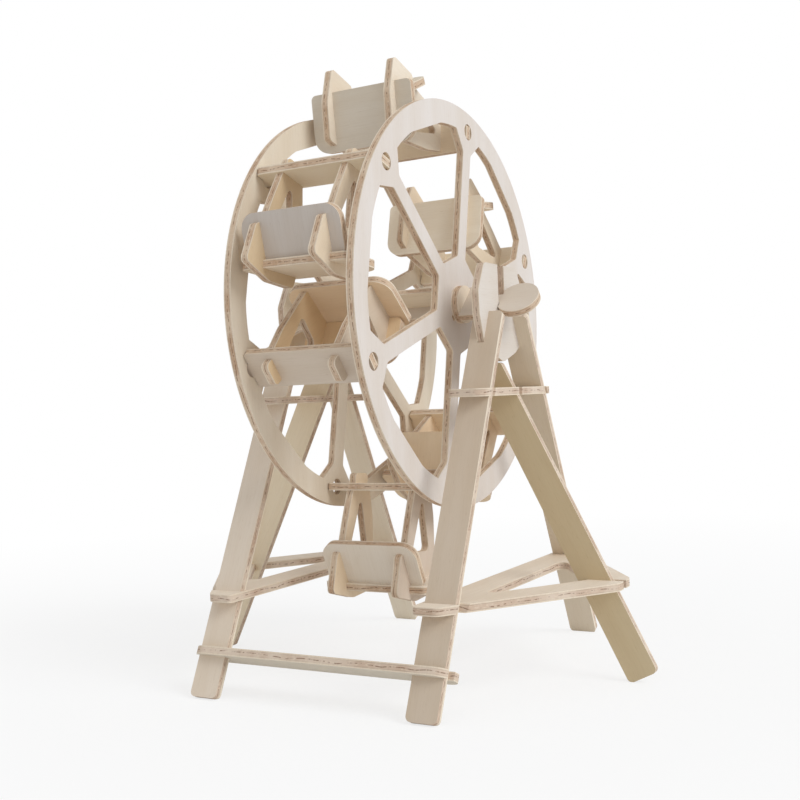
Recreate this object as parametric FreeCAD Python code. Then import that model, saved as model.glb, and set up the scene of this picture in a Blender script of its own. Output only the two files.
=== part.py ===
import FreeCAD, Part
import math
import os

V = FreeCAD.Vector
X, Y, Z = V(1, 0, 0), V(0, 1, 0), V(0, 0, 1)

# Driving dimensions: millimetres and degrees.
PLY = 3.0                    # every board is cut from the same plywood
SNUG = 0.07                  # radial clearance of the running fits
SIDE_GAP = 0.3               # free play between boards that move past each other

WHEEL_R = 80.0
RIM_WIDTH = 9.0
RIM_INNER_R = WHEEL_R - RIM_WIDTH
DISC_OUT = 27.2              # outer face of each wheel disc
DISC_IN = DISC_OUT - PLY
SPOKE_ANGLE = 18.5           # first spoke, the others follow every 60 degrees
SPOKE_HALF = 3.25
HUB_CORNER_R = 21.1
HINGE_R = RIM_INNER_R + 1.4  # gondola hinges sit where the spokes meet the rim
HINGE_HOLE_R = 3.25

AXLE_BOARD_ANGLE = 43.0
AXLE_HALF = 8.6
COLLAR_R = 7.4
BEARING_IN = 42.5            # bearing plates stand between these two |y|
BEARING_OUT = BEARING_IN + PLY
CRANK_R = 8.4
CRANK_Y = BEARING_OUT + 7.1

LEG_LEAN = 25.64             # degrees off the vertical, front and rear legs
LEG_IN, LEG_OUT = 39.4, 51.2
LEG_TOP = (-12.5, -4.4)      # outer face of the front leg at its top end (x, z)
LEG_LENGTH = 153.25
SIDE_LEAN = 26.4             # side legs splay a little more
SIDE_TOP_Y = 31.4            # inner edge of the side legs at their top end
SIDE_TOP_Z = -23.7
FOOT_TRIM = 0.1              # worn flat on a rounded foot corner
LEG_WIDTH = LEG_OUT - LEG_IN
LEG_FLAT = 0.3577            # height worn off the inner corner of each front and rear foot

lean = math.radians(LEG_LEAN)
STANDS_AT = LEG_LENGTH * math.cos(lean) + PLY * math.sin(lean) - LEG_TOP[1] - LEG_FLAT
AXLE = V(2.26, 0.0, round(STANDS_AT, 3))   # wheel centre; the crank is on the -Y side

TIE_Z = -35.0                # mid-heights of the level boards, from the axle
BASE_Z = 35.5 - AXLE.z
BAR_Z = 16.0 - AXLE.z        # where the front tie bar crosses the front legs


def leg_x(height):
    """How far forward the outer face of the front legs is at a height."""
    return LEG_TOP[0] - (LEG_TOP[1] - height) * math.tan(lean)


# Rest angle of each gondola: (hinge angle on the wheel, direction from hinge to seat).
GONDOLAS = [(78.5, 175.0), (138.5, 254.0), (198.5, 38.0), (258.5, 265.0), (18.5, 156.0), (318.5, 225.0)]
PLATE_IN, PLATE_OUT = 12.5, 15.5
BAR_HALF_WIDTH = 7.5
SEAT_HALF = 22.4
BACK_HALF = 20.7


def place(origin, u, v):
    """Placement of a board whose outline is drawn in u and v; its thickness runs along u x v."""
    n = u.cross(v)
    o = origin + AXLE
    return FreeCAD.Placement(FreeCAD.Matrix(
        u.x, v.x, n.x, o.x,
        u.y, v.y, n.y, o.y,
        u.z, v.z, n.z, o.z,
        0, 0, 0, 1))


def turned(angle):
    """Unit vectors in the XZ plane: along an angle, and a quarter turn further on."""
    a = math.radians(angle)
    return V(math.cos(a), 0, math.sin(a)), V(-math.sin(a), 0, math.cos(a))


def outline(corners):
    """Closed wire from (u, v) or (u, v, corner radius) points, always counter-clockwise."""
    area = sum(a[0] * b[1] - b[0] * a[1] for a, b in zip(corners, corners[1:] + corners[:1]))
    if area < 0:
        corners = corners[::-1]
    points = [V(c[0], c[1], 0) for c in corners]
    bends = []
    for i, corner in enumerate(corners):
        p = points[i]
        radius = corner[2] if len(corner) > 2 else 0.0
        if radius <= 0:
            bends.append((p, None, p))
            continue
        a = (points[i - 1] - p).normalize()
        b = (points[(i + 1) % len(points)] - p).normalize()
        half = a.getAngle(b) / 2
        cut = radius / math.tan(half)
        centre = p + (a + b).normalize() * (radius / math.sin(half))
        middle = centre + (p - centre).normalize() * radius
        bends.append((p + a * cut, middle, p + b * cut))
    edges = []
    for i, (start, middle, end) in enumerate(bends):
        if middle is not None:
            edges.append(Part.Arc(start, middle, end).toShape())
        following = bends[(i + 1) % len(bends)][0]
        if end.distanceToPoint(following) > 1e-6:
            edges.append(Part.makeLine(end, following))
    return Part.Wire(edges)


def board(corners, where, low=-PLY / 2, high=PLY / 2, holes=()):
    """Flat board from its outline, with any holes cut straight through."""
    solid = Part.Face(outline(corners)).extrude(V(0, 0, high - low))
    for hole in holes:
        tool = Part.Face(outline(hole)).extrude(V(0, 0, high - low + 2))
        tool.translate(V(0, 0, -1))
        solid = solid.cut(tool)
    solid.translate(V(0, 0, low))
    solid.Placement = where.multiply(solid.Placement)
    return solid


def half_lap(first, second, divide, slide):
    """Slot two crossing boards to a shared middle; the second one's slot opens along slide."""
    shared = first.common(second)
    slot = shared.cut(divide)
    mouth = slot.copy()
    mouth.translate(slide)
    return first.cut(shared.common(divide)), second.cut(slot).cut(mouth)


def slab(y_low, y_high):
    """Everything between two distances from the middle plane, on the crank side."""
    return Part.makeBox(600, y_high - y_low, 600, V(-300, -y_high, -200))


def mirrored(shape, axis):
    return shape.mirror(AXLE, axis)


UPRIGHT = place(V(0, 0, 0), X, Z)       # boards across the axle, thickness towards -Y
LEVEL = place(V(0, 0, 0), X, Y)         # boards parallel to the floor
SIDEWAYS = place(V(0, 0, 0), Y, Z)      # boards in the plane of the side legs
FLOOR = Part.makeBox(600, 600, 50, V(-300, -300, -50))

parts = {}

# Bearing plate: a shield with an open-topped slot that the axle neck turns in.
shield = [(-15, 14, 3), (-21, 3, 4), (-20.5, -6, 3), (-17, -16.7, 3), (-11, -20, 3), (0, -23.5, 5)]
shield += [(-x, z, r) for x, z, r in shield[-2::-1]]
neck_half = 2.4
slot_half = math.hypot(neck_half, PLY / 2) + SNUG
slot = [(-slot_half, 20), (-slot_half, -slot_half, slot_half), (slot_half, -slot_half, slot_half),
        (slot_half, 20)]
bearing_plate = board(shield, UPRIGHT, BEARING_IN, BEARING_OUT)
bearing_plate = bearing_plate.cut(board(slot, UPRIGHT, BEARING_IN - 1, BEARING_OUT + 1))

# Front leg: outline along the lean and across it, forked at the top for the bearing plate.
down = V(-math.sin(lean), 0, -math.cos(lean))
inward = V(math.cos(lean), 0, -math.sin(lean))
leg_place = place(V(LEG_TOP[0], 0, LEG_TOP[1]), down, Y)
leg = board([(0, -LEG_OUT, 1.5), (0, -LEG_IN, 1.5), (LEG_LENGTH, -LEG_IN, 2), (LEG_LENGTH, -LEG_OUT, 2)],
            leg_place, 0, PLY)
fork = board([(-2, -BEARING_OUT), (-2, -BEARING_IN), (13.2, -BEARING_IN), (13.2, -BEARING_OUT)],
             leg_place, -1, PLY + 1)
leg_front = leg.cut(fork).cut(FLOOR)

# Side leg: the same width of board, level top under the bearing plate, square foot.
side_lean = math.radians(SIDE_LEAN)
across = LEG_WIDTH / math.cos(side_lean)
foot_r = 2.0
foot_z = -AXLE.z - FOOT_TRIM + foot_r * (1 - math.cos(side_lean) - math.sin(side_lean))
foot_in = SIDE_TOP_Y + (SIDE_TOP_Z - foot_z) * math.tan(side_lean)
foot_out = (foot_in + LEG_WIDTH * math.cos(side_lean), foot_z + LEG_WIDTH * math.sin(side_lean))
leg_side = board([(-SIDE_TOP_Y, SIDE_TOP_Z, 1.5), (-SIDE_TOP_Y - across, SIDE_TOP_Z, 2),
                  (-foot_out[0], foot_out[1], foot_r), (-foot_in, foot_z, foot_r)], SIDEWAYS).cut(FLOOR)

# Level boards: a strip under the bearings, and a triangle with a rounded window near the feet.
tie_end = leg_x(TIE_Z) - 6.3
tie_edge = [(tie_end, 2.4 - LEG_IN, 2), (tie_end, -0.8 - LEG_OUT, 5)]
upper_tie = board(tie_edge + [(-x, y, r) for x, y, r in tie_edge[::-1]], LEVEL,
                  TIE_Z - PLY / 2, TIE_Z + PLY / 2)
leg_at = leg_x(BASE_Z)
side_in = SIDE_TOP_Y + (SIDE_TOP_Z - BASE_Z) * math.tan(side_lean)
side_out = side_in + across
base_edge = [(leg_at - 6.8, 1.4 - LEG_IN, 2), (leg_at - 6.8, 3.2 - LEG_OUT, 4),
             (leg_at + 0.2, -1.3 - LEG_OUT, 4), (-6.5, -4.0 - side_out, 6)]
base_edge += [(-x, y, r) for x, y, r in base_edge[::-1]]
base_hole = [(leg_at + 20.2, 0.7 - LEG_OUT, 2.5), (0, -4.8 - side_in, 6), (-leg_at - 20.2, 0.7 - LEG_OUT, 2.5)]
base_plate = board(base_edge, LEVEL, BASE_Z - PLY / 2, BASE_Z + PLY / 2, [base_hole])

# Front tie bar: stands square to the front legs and sticks out a board's thickness in front.
bar_place = place(V(leg_x(BAR_Z), 0, BAR_Z), inward, Y)
tie_bar_half = LEG_OUT + 2.3
front_tie_bar = board([(-PLY, -tie_bar_half, 6), (11, -tie_bar_half, 6), (11, tie_bar_half, 6),
                       (-PLY, tie_bar_half, 6)], bar_place)

# Interlocking slots: legs are slotted from their inner edge, level boards from their outer edge.
leg_rear = mirrored(leg_front, X)
leg_middle = slab(0, (LEG_IN + LEG_OUT) / 2)
outwards = V(0, -5.8, 0)
leg_front, upper_tie = half_lap(leg_front, upper_tie, leg_middle, outwards)
leg_front, base_plate = half_lap(leg_front, base_plate, leg_middle, outwards)
leg_rear, upper_tie = half_lap(leg_rear, upper_tie, leg_middle, outwards)
leg_rear, base_plate = half_lap(leg_rear, base_plate, leg_middle, outwards)


def side_middle(height):
    """Inner half of the side leg at a height, where the level boards are let into it."""
    inner = SIDE_TOP_Y + (SIDE_TOP_Z - height) * math.tan(side_lean)
    return slab(0, inner + across / 2)


leg_side, upper_tie = half_lap(leg_side, upper_tie, side_middle(TIE_Z), outwards)
leg_side, base_plate = half_lap(leg_side, base_plate, side_middle(BASE_Z), outwards)

leg_front, front_tie_bar = half_lap(leg_front, front_tie_bar, leg_middle, outwards)
far_ends = mirrored(front_tie_bar, Y).common(mirrored(slab(0, 100), Y))
front_tie_bar = front_tie_bar.common(slab(0, 100)).fuse(far_ends).removeSplitter()

one_side = {"bearing_plate": bearing_plate, "leg_front": leg_front, "leg_rear": leg_rear,
            "leg_side": leg_side, "upper_tie": upper_tie, "base_plate": base_plate}
for name, shape in one_side.items():
    parts[name + "_near"] = shape
    parts[name + "_far"] = mirrored(shape, Y)
parts["front_tie_bar"] = front_tie_bar

# Axle: one long board across the wheel, with a neck in each bearing and the crank disc outside.
along, beside = turned(AXLE_BOARD_ANGLE)
axle_place = place(V(0, 0, 0), along, Y)
collar_in, collar_out = DISC_OUT, DISC_OUT + PLY
shoulder = BEARING_IN - SIDE_GAP
right_side = [(neck_half, BEARING_OUT + 2.5, 1.5), (neck_half, shoulder), (AXLE_HALF, shoulder, 1),
              (AXLE_HALF, -shoulder, 1), (neck_half, -shoulder), (neck_half, -CRANK_Y)]
axle_board = board(right_side + [(-u, v, *r) for u, v, *r in right_side[::-1]], axle_place)
crank = Part.makeCylinder(CRANK_R, PLY, V(0, -CRANK_Y, -PLY / 2))
crank = crank.cut(Part.makeBox(4 * CRANK_R, 2 * CRANK_R, 2 * PLY, V(-2 * CRANK_R, -BEARING_OUT - 0.4, -PLY)))
crank.Placement = axle_place.multiply(crank.Placement)
axle_board = axle_board.fuse(crank).removeSplitter()

# Fins: the short cross pieces that make the hub a plus in section, one each side of the board.
fin_place = place(V(0, 0, 0), beside, Y)
fin = [(PLY / 2, -DISC_OUT), (PLY / 2, DISC_OUT), (AXLE_HALF, DISC_OUT, 1), (AXLE_HALF, -DISC_OUT, 1)]
parts["axle_fin_upper"] = board(fin, fin_place)
parts["axle_fin_lower"] = board([(-u, v, *r) for u, v, *r in fin], fin_place)

# Collars: discs slid over the axle board from the side, half slot against half slot.
for name, low in (("near", collar_in), ("far", -collar_out)):
    collar = Part.makeCylinder(COLLAR_R, PLY, AXLE + V(0, -low, 0), V(0, -1, 0))
    slot = board([(0, -PLY / 2), (AXLE_HALF + 1, -PLY / 2), (AXLE_HALF + 1, PLY / 2), (0, PLY / 2)],
                 place(V(0, 0, 0), along, beside), low, low + PLY)
    notch = board([(-AXLE_HALF - 1, -PLY), (0, -PLY), (0, PLY), (-AXLE_HALF - 1, PLY)],
                  place(V(0, 0, 0), along, beside), low, low + PLY)
    parts["collar_" + name] = collar.cut(slot)
    axle_board = axle_board.cut(notch)
parts["axle_board"] = axle_board

# Wheel discs: rim, six spokes with pads round the hinge holes, six-sided hub.
rim_bore = Part.makeCylinder(RIM_INNER_R, 200, AXLE + V(0, -100, 0), Y)
cos30, sin30 = math.cos(math.radians(30)), 0.5


def beside_spoke(s, offset):
    """Point at distance s along a spoke and offset from its middle, in the window's own axes."""
    return s * cos30 + offset * sin30, s * sin30 - offset * cos30


hub_edge = HUB_CORNER_R * cos30
hub_end = (hub_edge - SPOKE_HALF * sin30) / cos30
window_side = [(*beside_spoke(hub_end, SPOKE_HALF), 1.5), (*beside_spoke(RIM_INNER_R - 7.75, SPOKE_HALF), 2),
               beside_spoke(RIM_INNER_R + 2, SPOKE_HALF + 9.85)]
window = window_side + [(p, -q, *r) for p, q, *r in window_side[::-1]]


def wheel_disc(low):
    disc = Part.makeCylinder(WHEEL_R, PLY, AXLE + V(0, -low, 0), V(0, -1, 0))
    for k in range(6):
        spoke = SPOKE_ANGLE + 60 * k
        opening = board(window, place(V(0, 0, 0), *turned(spoke + 30)), low - 1, low + PLY + 1)
        disc = disc.cut(opening.common(rim_bore))
        centre = turned(spoke)[0] * HINGE_R
        disc = disc.cut(Part.makeCylinder(HINGE_HOLE_R, 200, AXLE + centre + V(0, -100, 0), Y))
    for name in ("axle_board", "axle_fin_upper", "axle_fin_lower"):
        disc = disc.cut(parts[name])
    return disc


parts["wheel_disc_near"] = wheel_disc(DISC_IN)
parts["wheel_disc_far"] = wheel_disc(-DISC_OUT)

# Gondola boards, in axes that start at the hinge: h towards the seat, u towards the open front.
side_outline = [(-5.5, -4.6, 2), (-5.5, 4.6, 2), (1.5, 4.6), (1.5, 6.4), (12, 8.6, 5), (33.3, 10, 4),
                (41.3, 8.4, 2), (43.6, -6, 8), (40.8, -20.5, 2), (26.5, -17.8, 1.5), (25, -16),
                (22.9, -13, 1), (12.7, -10.1, 5), (1.5, -6.4), (1.5, -4.6)]
side_window = [(3, -0.2, 1.4), (24.9, 4.8, 2), (24.9, -8.9, 2)]
tab_half = math.sqrt((HINGE_HOLE_R - SNUG) ** 2 - (PLY / 2) ** 2)
bar_end = DISC_IN - SIDE_GAP
bar_corner = [(BAR_HALF_WIDTH, bar_end, 1), (tab_half, bar_end), (tab_half, DISC_OUT, 0.5)]
back_top, back_bottom = (22.2, -18.0), (37.9, -9.3)
seat_rear, seat_front = (40.5, -10.8), (36.2, 12.0)


def gondola(spoke, seat_angle):
    """The five boards of one gondola, hung from the wheel at its rest angle."""
    hinge = turned(spoke)[0] * HINGE_R
    h, u = turned(seat_angle)

    def sloping(start, end):
        a = V(end[0] - start[0], end[1] - start[1], 0)
        run = (h * a.x + u * a.y).normalize()
        return place(hinge + h * start[0] + u * start[1], run, Y), a.Length

    flat = place(hinge, h, u)
    near = board(side_outline, flat, PLATE_IN, PLATE_OUT, [side_window])
    far = board(side_outline, flat, -PLATE_OUT, -PLATE_IN, [side_window])
    both = near.fuse(far)

    top = bar_corner + [(-a, y, *r) for a, y, *r in bar_corner[::-1]]
    bar = board(top + [(a, -y, *r) for a, y, *r in top[::-1]], place(hinge, u, Y)).cut(both)

    where, depth = sloping(seat_rear, seat_front)
    seat = board([(0, -SEAT_HALF, 2), (0, SEAT_HALF, 2), (depth, SEAT_HALF, 6.5), (depth, -SEAT_HALF, 6.5)],
                 where, 0, PLY)
    where, height = sloping(back_top, back_bottom)
    backrest = board([(0, -BACK_HALF, 6), (0, BACK_HALF, 6), (height, BACK_HALF, 2), (height, -BACK_HALF, 2)],
                     where, 0, PLY).cut(seat)
    return {"crossbar": bar, "side_plate_near": near, "side_plate_far": far,
            "backrest": backrest.cut(both), "seat": seat.cut(both)}


for number, (spoke, seat_angle) in enumerate(GONDOLAS, 1):
    for name, shape in gondola(spoke, seat_angle).items():
        parts["gondola_%d_%s" % (number, name)] = shape

os.makedirs("parts", exist_ok=True)
for name, shape in parts.items():
    if shape.ShapeType == "Compound" and len(shape.Solids) == 1:
        shape = shape.Solids[0]
    shape.exportStep("parts/%s.step" % name)
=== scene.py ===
# %% [markdown]
# A hand-cranked toy ferris wheel, built from flat plywood boards that slot into each other.
# Two rims, an axle made of crossed boards, six tipping gondolas and a stand on six legs: every
# visible surface is birch plywood, so the whole look rests on one good material. Its pale face
# has a grain that runs one way through each board, and its cut edge shows the layers of the
# sheet, browned by the laser that cut it.
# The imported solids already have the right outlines, so they stay, and each one is dressed.

import math

import bpy
import numpy as np
from mathutils import Matrix, Vector

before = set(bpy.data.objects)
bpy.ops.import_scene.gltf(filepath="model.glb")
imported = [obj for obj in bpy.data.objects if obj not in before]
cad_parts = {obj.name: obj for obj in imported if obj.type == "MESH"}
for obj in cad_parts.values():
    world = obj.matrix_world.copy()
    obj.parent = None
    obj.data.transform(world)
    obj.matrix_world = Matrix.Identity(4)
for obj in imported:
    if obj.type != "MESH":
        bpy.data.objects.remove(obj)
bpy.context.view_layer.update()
MM = 0.001

# %% [markdown]
# The camera stands at the height of the wheel's lower half and looks almost level at the front
# of the toy, with the crank side on the right. It has an ordinary lens and stands close, so the
# near rim looks clearly larger than the far one. The slight roll is part of the view.

# %% Camera
CAMERA_AT = (-399.63, -222.76, 108.01)  # millimetres, in the toy's own frame
HEADING, TILT, ROLL = 60.85, -0.16, -2.29  # degrees: from +Y towards +X, upwards, clockwise
FOCAL_PIXELS, PICTURE_PIXELS = 1126.93, 800.0  # focal length and width of the picture
SENSOR = 36.0  # millimetres across the sensor
NEAREST, FURTHEST = 0.02, 60.0  # metres between which the camera sees anything


def camera_axes(heading, tilt, roll):
    """Right, up and backward unit vectors of a camera turned by heading, tilt and roll."""
    a, b, c = np.radians([heading, tilt, roll])
    ahead = np.array([math.sin(a) * math.cos(b), math.cos(a) * math.cos(b), math.sin(b)])
    level = np.array([math.cos(a), -math.sin(a), 0.0])
    over = np.cross(level, ahead)
    right = math.cos(c) * level + math.sin(c) * over
    up = -math.sin(c) * level + math.cos(c) * over
    return right, up, -ahead


lens = bpy.data.cameras.new("camera")
lens.sensor_width = SENSOR
lens.lens = FOCAL_PIXELS / PICTURE_PIXELS * SENSOR
lens.clip_start, lens.clip_end = NEAREST, FURTHEST
camera = bpy.data.objects.new("camera", lens)
bpy.context.scene.collection.objects.link(camera)
stance = np.eye(4)
stance[:3, :3] = np.array(camera_axes(HEADING, TILT, ROLL)).T
stance[:3, 3] = np.array(CAMERA_AT) * MM
camera.matrix_world = Matrix(stance.tolist())
bpy.context.scene.camera = camera
print("lens %.1f mm" % lens.lens)

# %% [markdown]
# Shader networks are long lists of small nodes. Writing them as sums is far easier to read, so
# one class wraps a socket: adding, multiplying or comparing two of them adds the Math node that
# does it. Every other kind of node comes from one method, which sets the node up and then joins
# or fills its sockets.


# %% A socket that does arithmetic
class Wire:
    """One output socket of a shader network, which can be used in Python expressions."""

    def __init__(self, tree, socket=None):
        self.tree, self.socket = tree, socket

    def node(self, kind, settings=None, sockets=None, output=0):
        """New node of a kind: its settings are made first, then its sockets are filled or joined."""
        made = self.tree.nodes.new(kind)
        for name, value in (settings or {}).items():
            setattr(made, name, value)
        for key, value in (sockets or {}).items():
            if isinstance(value, Wire):
                self.tree.links.new(value.socket, made.inputs[key])
            else:
                made.inputs[key].default_value = value
        return Wire(self.tree, made.outputs[output])

    def math(self, operation, *values, clamp=False):
        """Math node of an operation on sockets or plain numbers."""
        settings = {"operation": operation, "use_clamp": clamp}
        return self.node("ShaderNodeMath", settings, dict(enumerate(values)))

    def __add__(self, other):
        return self.math("ADD", self, other)

    def __sub__(self, other):
        return self.math("SUBTRACT", self, other)

    def __rsub__(self, other):
        return self.math("SUBTRACT", other, self)

    def __mul__(self, other):
        return self.math("MULTIPLY", self, other)

    def __abs__(self):
        return self.math("ABSOLUTE", self)

    __radd__ = __add__
    __rmul__ = __mul__

    def dot(self, direction):
        """How far this vector reaches along a fixed direction."""
        settings = {"operation": "DOT_PRODUCT"}
        return self.node("ShaderNodeVectorMath", settings, {0: self, 1: direction}, "Value")

    def length(self):
        """Length of this vector."""
        return self.node("ShaderNodeVectorMath", {"operation": "LENGTH"}, {0: self}, "Value")

    def rise(self, low, high):
        """0 below low, 1 above high, and a straight ramp between them."""
        sockets = {"Value": self, "From Min": low, "From Max": high}
        return self.node("ShaderNodeMapRange", {"clamp": True}, sockets)

    def mix(self, first, second):
        """First colour where this socket is 0, second where it is 1."""
        settings = {"data_type": "RGBA", "clamp_factor": True}
        return self.node("ShaderNodeMix", settings, {0: self, 6: first, 7: second}, 2)

    def noise(self, x, y, z, detail=2.0, rough=0.5):
        """Smooth random field over three coordinates, about 0.5 on average."""
        spot = self.node("ShaderNodeCombineXYZ", None, {0: x, 1: y, 2: z})
        sockets = {"Vector": spot, "Scale": 1.0, "Detail": detail, "Roughness": rough}
        return self.node("ShaderNodeTexNoise", None, sockets, "Fac")


def colour(red, green, blue):
    """A colour as it looks on screen, 0 to 255, turned into the linear light a shader uses."""
    share = np.array([red, green, blue]) / 255.0
    linear = np.where(share > 0.04045, ((share + 0.055) / 1.055) ** 2.4, share / 12.92)
    return (*linear.tolist(), 1.0)


# %% [markdown]
# Each board is a flat sheet, so its own mesh says how it lies. The direction that most of its
# surface faces is across the sheet, the middle of its thickness gives the layers their place,
# and its longest direction is where a maker would run the grain. The two wheel discs have no
# longest direction, so theirs runs up and down, and the backrests were cut across the sheet.


# %% How each board lies
SLIVER = 1e-9  # square millimetres: smaller triangles have no sure direction
UPRIGHT = np.array([0.0, 0.0, 1.0])
SHORT_WAY = ("backrest",)


def board_axes(node):
    """Direction across the sheet, its middle in millimetres, and its longest direction in plane.

    Across is the main axis of the sum of area x normal x normal over the faces. Along is the main
    axis of the second moment of area of the triangles, with the part along the normal removed."""
    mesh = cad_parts[node].data
    mesh.calc_loop_triangles()
    corners = np.empty(len(mesh.loop_triangles) * 3, np.int32)
    mesh.loop_triangles.foreach_get("vertices", corners)
    places = np.empty(len(mesh.vertices) * 3, np.float32)
    mesh.vertices.foreach_get("co", places)
    points = places.reshape(-1, 3).astype(float) / MM
    a, b, c = points[corners.reshape(-1, 3)].transpose(1, 0, 2)
    facing = np.cross(b - a, c - a) / 2
    area = np.linalg.norm(facing, axis=1)
    kept = area > SLIVER
    a, b, c, facing, area = a[kept], b[kept], c[kept], facing[kept], area[kept]
    across = np.linalg.eigh(np.einsum("ni,nj,n->ij", facing, facing, 1 / area))[1][:, 2]
    reach = points @ across
    middle = (reach.min() + reach.max()) / 2
    centre = np.average((a + b + c) / 3, axis=0, weights=area)
    a, b, c = a - centre, b - centre, c - centre
    moment = sum(np.einsum("ni,nj,n->ij", v, v, area) for v in (a, b, c, a + b + c))
    flat = np.eye(3) - np.outer(across, across)
    along = np.linalg.eigh(flat @ moment @ flat)[1][:, 2]
    return across, middle, along


boards = {}
for name in sorted(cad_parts):
    across, middle, along = board_axes(name)
    if name.startswith("wheel_disc"):
        along = UPRIGHT
    if name.endswith(SHORT_WAY):
        along = np.cross(across, along)
    boards[name] = (across, middle, along)
for name in ("leg_side_near", "wheel_disc_near"):
    print(name, "is flat across", np.round(boards[name][0], 2).tolist())

# %% [markdown]
# The sheet is three veneers glued crosswise. The outer two are peeled birch: nearly white and
# very smooth, with faint warm bands and fine fibres along the grain. Each board is shifted
# along the pattern, so that no two repeat. Most boards also have a tone of their own. It holds
# the colour of the wood with painted light and shade: near and far copies of one board, such as
# the wheel discs, bearing plates, legs and gondola side plates, have different tones for the
# light on them, the near legs are darker for painted shade, and a few boards of gondolas 2, 3
# and 6 are more golden than the rest, a painted warm glow for the light that bounces between them.

# %% Tones of the outer veneer, with painted light and shade
HALF_SHEET = 1.5  # millimetres from the middle of the sheet to its face
VENEER = 0.55  # thickness of each outer layer
# Each tone is the veneer colour with painted light and shade in it; near and far copies of a board
# differ only by painted light and shade.
TONES_AND_PAINTED_LIGHT = {
    "wheel_disc_far": (228, 216, 198),
    "wheel_disc": (224, 216, 210),
    "bearing_plate_far": (231, 219, 200),
    "bearing_plate": (222, 214, 206),
    "collar": (246, 234, 217),
    "axle_fin": (246, 234, 213),
    "axle": (217, 205, 191),
    "leg_side_far": (241, 227, 201),
    "leg_side": (208, 190, 156),
    "leg_rear_far": (243, 233, 215),
    "leg_rear": (226, 213, 193),
    "leg_front_far": (228, 214, 197),
    "leg": (209, 193, 174),
    "upper_tie": (235, 222, 204),
    "base_plate": (236, 223, 206),
    "front_tie_bar": (223, 215, 200),
    "1_backrest": (211, 200, 182),
    "1_seat": (217, 208, 194),
    "1_side_plate": (238, 226, 209),
    "2_backrest": (202, 193, 185),
    "2_seat": (232, 217, 195),
    "2_side_plate_far": (214, 191, 158),
    "2_crossbar": (246, 235, 213),
    "3_backrest": (234, 207, 170),
    "3_seat": (234, 209, 177),
    "3_side_plate_far": (233, 206, 168),
    "3_side_plate": (212, 196, 177),
    "3_crossbar": (213, 199, 183),
    "4_side_plate_far": (242, 222, 194),
    "4_side_plate": (214, 198, 182),
    "4_": (235, 225, 211),
    "5_seat": (249, 239, 221),
    "5_crossbar": (249, 238, 218),
    "6_side_plate": (240, 217, 187),
    "6_": (246, 227, 199),
    "side_plate": (233, 217, 194),
    "backrest": (236, 219, 194),
    "seat": (236, 218, 190),
    "crossbar": (236, 219, 194),
}


def tone_and_light_of(name):
    """Veneer colour of a board with its painted light and shade: the first tone in the table whose
    key is part of its name.
    """
    return next(np.array(tone_and_light) for kind, tone_and_light in TONES_AND_PAINTED_LIGHT.items() if kind in name)


print("tones:", {tuple(int(v) for v in tone_and_light_of(name)) for name in boards})

# %% [markdown]
# The cut edge shows the layers: two pale lines outside, a warmer core between them, and a
# thin dark line where the glue was scorched by the laser. The core runs crosswise, so it is
# cut across its fibres, which leaves it blotchy, with pale flecks and a broken dark seam that
# wanders along the edge. One shader does face and edge: it asks how squarely the surface faces
# across the sheet, and shows the veneer where it does and the layers where it does not. The
# core of the stand's boards is a little greyer than that of the wheel and its gondolas.

# %% Plywood
SCORCH = colour(116, 80, 56)
STAND_CORE = colour(220, 203, 185), colour(195, 167, 144)
WHEEL_CORE = colour(216, 194, 169), colour(190, 157, 128)
# The second colour of this pair is a painted highlight along the rounded corner of each cut edge.
LINE, CORNER_HIGHLIGHT = colour(228, 213, 192), colour(236, 226, 209)
BAND, FIBRE, PORE = [0.95, 0.925, 0.89], [0.89, 0.86, 0.81], [0.78, 0.70, 0.61]  # shares of a tone
ON_THE_WHEEL = ("wheel", "axle", "collar", "gondola")
GLUE = HALF_SHEET - VENEER  # millimetres from the middle of the sheet to a glue line
CORNER_HIGHLIGHT_WIDTH = 0.16  # width of the painted highlight along the corner of a cut edge
SQUARE_ON = (0.55, 0.65)  # how squarely a surface faces across the sheet: from edge to face
GRAIN_STEP, SIDE_STEP = 131.0, 57.0  # millimetres through the pattern for one unit of shift
FIRST_SHIFT, SHIFT_STEP = 1.0, 0.37
CUT_ROUGH, FACE_SMOOTH, FIBRE_ROUGH = 0.74, 0.14, 0.10  # the face is smoother than the edge
FIBRE_RELIEF, RELIEF, RELIEF_STRENGTH = 0.35, 0.05, 0.6  # depth of the relief is in millimetres
SPECULAR = 0.35


def face_colour(start, tone_and_light, grain, side, depth, shift):
    """Veneer: wandering bands and fine fibres along the grain, and a few short pores.

    A factor on grain, side or depth is how many times per millimetre the pattern changes."""
    # The board's tone carries its painted light and shade.
    pale = colour(*tone_and_light)
    band, fibre, pore = (colour(*(tone_and_light * share)) for share in (BAND, FIBRE, PORE))
    bands = start.noise(grain * 0.012, side * 0.11, shift, 2.0).rise(0.34, 0.68)
    clouds = start.noise(grain * 0.03, side * 0.035, shift + 7.0, 1.0).rise(0.3, 0.7)
    fibres = start.noise(grain * 0.10, side * 2.6, shift, 3.0, 0.6)
    pores = start.noise(grain * 0.35, side * 4.6, depth * 0.5, 1.0).rise(0.68, 0.78)
    veneer = (bands * 0.45 + clouds * 0.25).mix(pale, band)
    veneer = (fibres.rise(0.48, 0.80) * 0.28).mix(veneer, fibre)
    return (pores * 0.30).mix(veneer, pore), fibres


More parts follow.
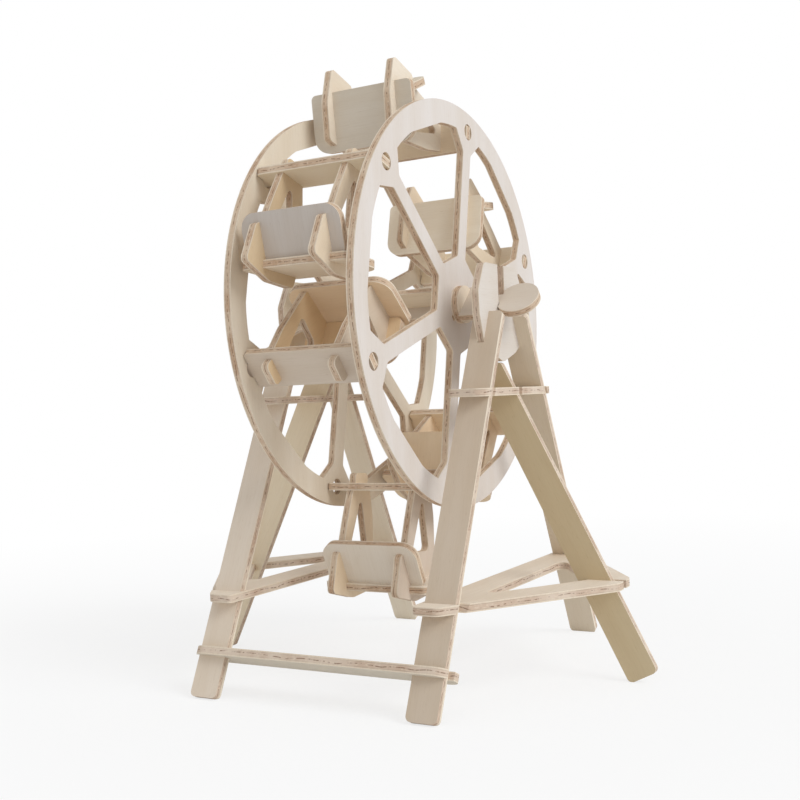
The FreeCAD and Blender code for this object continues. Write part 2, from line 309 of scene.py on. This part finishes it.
def edge_colour(start, cores, grain, side, depth, shift):
    """Layers of the cut edge, from the core outwards to a painted highlight on the corner."""
    fresh, browned = cores
    far_out = abs(depth)
    outer = far_out.rise(GLUE - 0.07, GLUE + 0.07)
    blotches = start.noise(grain * 0.09, side * 0.09, shift, 2.0, 0.6).rise(0.38, 0.66)
    wander = (start.noise(grain * 0.11, side * 0.11, shift + 3.0, 1.0) - 0.5) * 2.2
    seam = 1 - abs(depth - wander).rise(0.10, 0.26)
    dashes = seam * start.noise(grain * 0.5, side * 0.5, shift + 5.0, 2.0, 0.7).rise(0.43, 0.57)
    flecks = start.noise(grain * 0.7 + 31.0, side * 0.7, depth * 2.4, 2.0, 0.6).rise(0.54, 0.68)
    stripes = start.noise(grain * 2.1, side * 2.1, depth * 0.3, 2.0, 0.6)
    glue = 1 - abs(far_out - GLUE).rise(0.05, 0.15)
    core = (blotches * 0.75 + stripes * 0.25).mix(fresh, browned)
    core = (flecks * 0.60).mix(core, LINE)
    veneer = (stripes.rise(0.45, 0.8) * 0.35 + blotches * 0.15).mix(LINE, browned)
    layers = outer.mix(core, veneer)
    layers = (glue * (0.12 + blotches * 0.40)).mix(layers, SCORCH)
    layers = (dashes * 0.75).mix(layers, SCORCH)
    # Painted highlight where the rounded corner of the cut edge would catch the light.
    layers = (far_out.rise(HALF_SHEET - CORNER_HIGHLIGHT_WIDTH, HALF_SHEET) * 0.6).mix(layers, CORNER_HIGHLIGHT)
    return layers, stripes * 0.8 + dashes * 0.6


def plywood(name, across, middle, along, shift):
    """Material of one board. Coordinates are millimetres across, along and beside the grain."""
    material = bpy.data.materials.new("ply_" + name)
    material.use_nodes = True
    tree = material.node_tree
    surface = tree.nodes["Principled BSDF"]
    start = Wire(tree)
    place = start.node("ShaderNodeTexCoord", output="Object")
    facing = start.node("ShaderNodeTexCoord", output="Normal")
    per_mm = np.array([across, along, np.cross(across, along)]) / MM
    depth = place.dot(per_mm[0].tolist()) - middle
    grain = place.dot(per_mm[1].tolist()) + GRAIN_STEP * shift
    side = place.dot(per_mm[2].tolist()) + SIDE_STEP * shift
    flat = abs(facing.dot(across.tolist())).rise(*SQUARE_ON)
    veneer, fibres = face_colour(start, tone_and_light_of(name), grain, side, depth, shift)
    cores = WHEEL_CORE if name.startswith(ON_THE_WHEEL) else STAND_CORE
    layers, rough_cut = edge_colour(start, cores, grain, side, depth, shift)
    tree.links.new(flat.mix(layers, veneer).socket, surface.inputs["Base Color"])
    roughness = CUT_ROUGH - flat * FACE_SMOOTH + fibres * FIBRE_ROUGH
    tree.links.new(roughness.socket, surface.inputs["Roughness"])
    height = flat * (fibres * FIBRE_RELIEF) + (1 - flat) * rough_cut
    relief = {"Height": height, "Distance": RELIEF * MM, "Strength": RELIEF_STRENGTH}
    bump = start.node("ShaderNodeBump", None, relief, "Normal")
    tree.links.new(bump.socket, surface.inputs["Normal"])
    surface.inputs["Specular IOR Level"].default_value = SPECULAR
    return material


for number, (name, (across, middle, along)) in enumerate(boards.items()):
    sheet = plywood(name, across, middle, along, FIRST_SHIFT + SHIFT_STEP * number)
    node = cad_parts[name]
    if not node.material_slots:
        node.data.materials.append(sheet)
    for holder in node.material_slots:
        holder.material = sheet
print("plywood on", len(boards), "boards")

# %% [markdown]
# The toy stands on a plain white table that runs on to a white background. A wide disc is
# enough: near the toy the table's own colour carries the soft shadow, and further out what the
# camera sees is lifted to the white of the background, so its far edge cannot be made out.

# %% Table and background
TABLE_R, RINGS, SECTORS = 30.0, 24, 96
TABLE_DROP = 0.00005  # metres that the table lies under the feet
TABLE_TONE, TABLE_ROUGH = (0.90, 0.90, 0.90, 1.0), 0.9
WHITE = (1, 1, 1, 1)
SHADOW_SHARE, SHADOW_ENDS = 0.25, (0.14, 0.55)  # how dark, and the metres over which it fades out


def round_table(radius, rings, sectors):
    """Flat disc: point (s, t) lies at radius r = R s^3 and angle t, just under the feet."""
    s = np.linspace(0, 1, rings + 1)[1:]
    t = np.linspace(0, 2 * np.pi, sectors, endpoint=False)
    r = radius * s**3
    ring = np.stack([np.outer(r, np.cos(t)), np.outer(r, np.sin(t)), np.zeros((rings, sectors))], -1)
    points = np.vstack([[[0, 0, 0]], ring.reshape(-1, 3)]) + [0, 0, -TABLE_DROP]
    index = 1 + np.arange(rings * sectors).reshape(rings, sectors)
    after = np.roll(index, -1, 1)
    quads = np.stack([index[:-1], index[1:], after[1:], after[:-1]], -1).reshape(-1, 4)
    fan = np.stack([np.zeros(sectors, int), index[0], after[0]], -1)
    mesh = bpy.data.meshes.new("table")
    mesh.from_pydata(points.tolist(), [], fan.tolist() + quads.tolist())
    table = bpy.data.objects.new("table", mesh)
    bpy.context.scene.collection.objects.link(table)
    return table


def seen_rays(start):
    """1 for rays from the camera or through gloss and glass, 0 for light that bounces."""
    paths = ("Is Camera Ray", "Is Glossy Ray", "Is Transmission Ray")
    camera_ray, glossy, through = (start.node("ShaderNodeLightPath", output=p) for p in paths)
    return start.math("ADD", camera_ray + glossy, through, clamp=True)


table = round_table(TABLE_R, RINGS, SECTORS)
white = bpy.data.materials.new("white_table")
white.use_nodes = True
start = Wire(white.node_tree)
lit = white.node_tree.nodes["Principled BSDF"]
lit.inputs["Base Color"].default_value = TABLE_TONE
lit.inputs["Roughness"].default_value = TABLE_ROUGH
lit.inputs["Specular IOR Level"].default_value = 0.0
glow = start.node("ShaderNodeEmission", None, {"Color": WHITE, "Strength": 1.0})
out_from_toy = start.node("ShaderNodeTexCoord", output="Object").length()
lifted = seen_rays(start) * (1 - SHADOW_SHARE + SHADOW_SHARE * out_from_toy.rise(*SHADOW_ENDS))
plain = Wire(white.node_tree, lit.outputs[0])
blend = start.node("ShaderNodeMixShader", None, {0: lifted, 1: plain, 2: glow})
ending = white.node_tree.nodes["Material Output"]
white.node_tree.links.new(blend.socket, ending.inputs["Surface"])
table.data.materials.append(white)
print("table", len(table.data.polygons), "faces")

# %% [markdown]
# Soft studio light: an even white dome, and one broad, slightly cooler key light from the crank
# side and above. Boards that face the crank side come out nearly white, level boards a little
# darker, and boards that face the front clearly darker and warmer, which is what makes the
# crossing boards easy to tell apart.

# %% Light
DOME = 0.62  # strength of the white dome on the toy
# name, direction of travel, strength, width in degrees and colour
LAMPS = [("key", (0.10, 0.80, -0.60), 1.50, 30, (0.93, 0.97, 1.0))]
world = bpy.data.worlds.new("studio")
world.use_nodes = True
bpy.context.scene.world = world
sky = Wire(world.node_tree)
seen = seen_rays(sky)
background = world.node_tree.nodes["Background"]
background.inputs["Color"].default_value = WHITE
world.node_tree.links.new((seen * (1 - DOME) + DOME).socket, background.inputs["Strength"])
for name, travels, power, spread, tint in LAMPS:
    lamp = bpy.data.lights.new(name, "SUN")
    lamp.energy, lamp.angle, lamp.color = power, math.radians(spread), tint
    holder = bpy.data.objects.new(name, lamp)
    holder.rotation_euler = Vector(travels).to_track_quat("-Z", "Y").to_euler()
    bpy.context.scene.collection.objects.link(holder)
print("lamps:", [lamp[0] for lamp in LAMPS])

bpy.context.scene.view_settings.view_transform = "Standard"
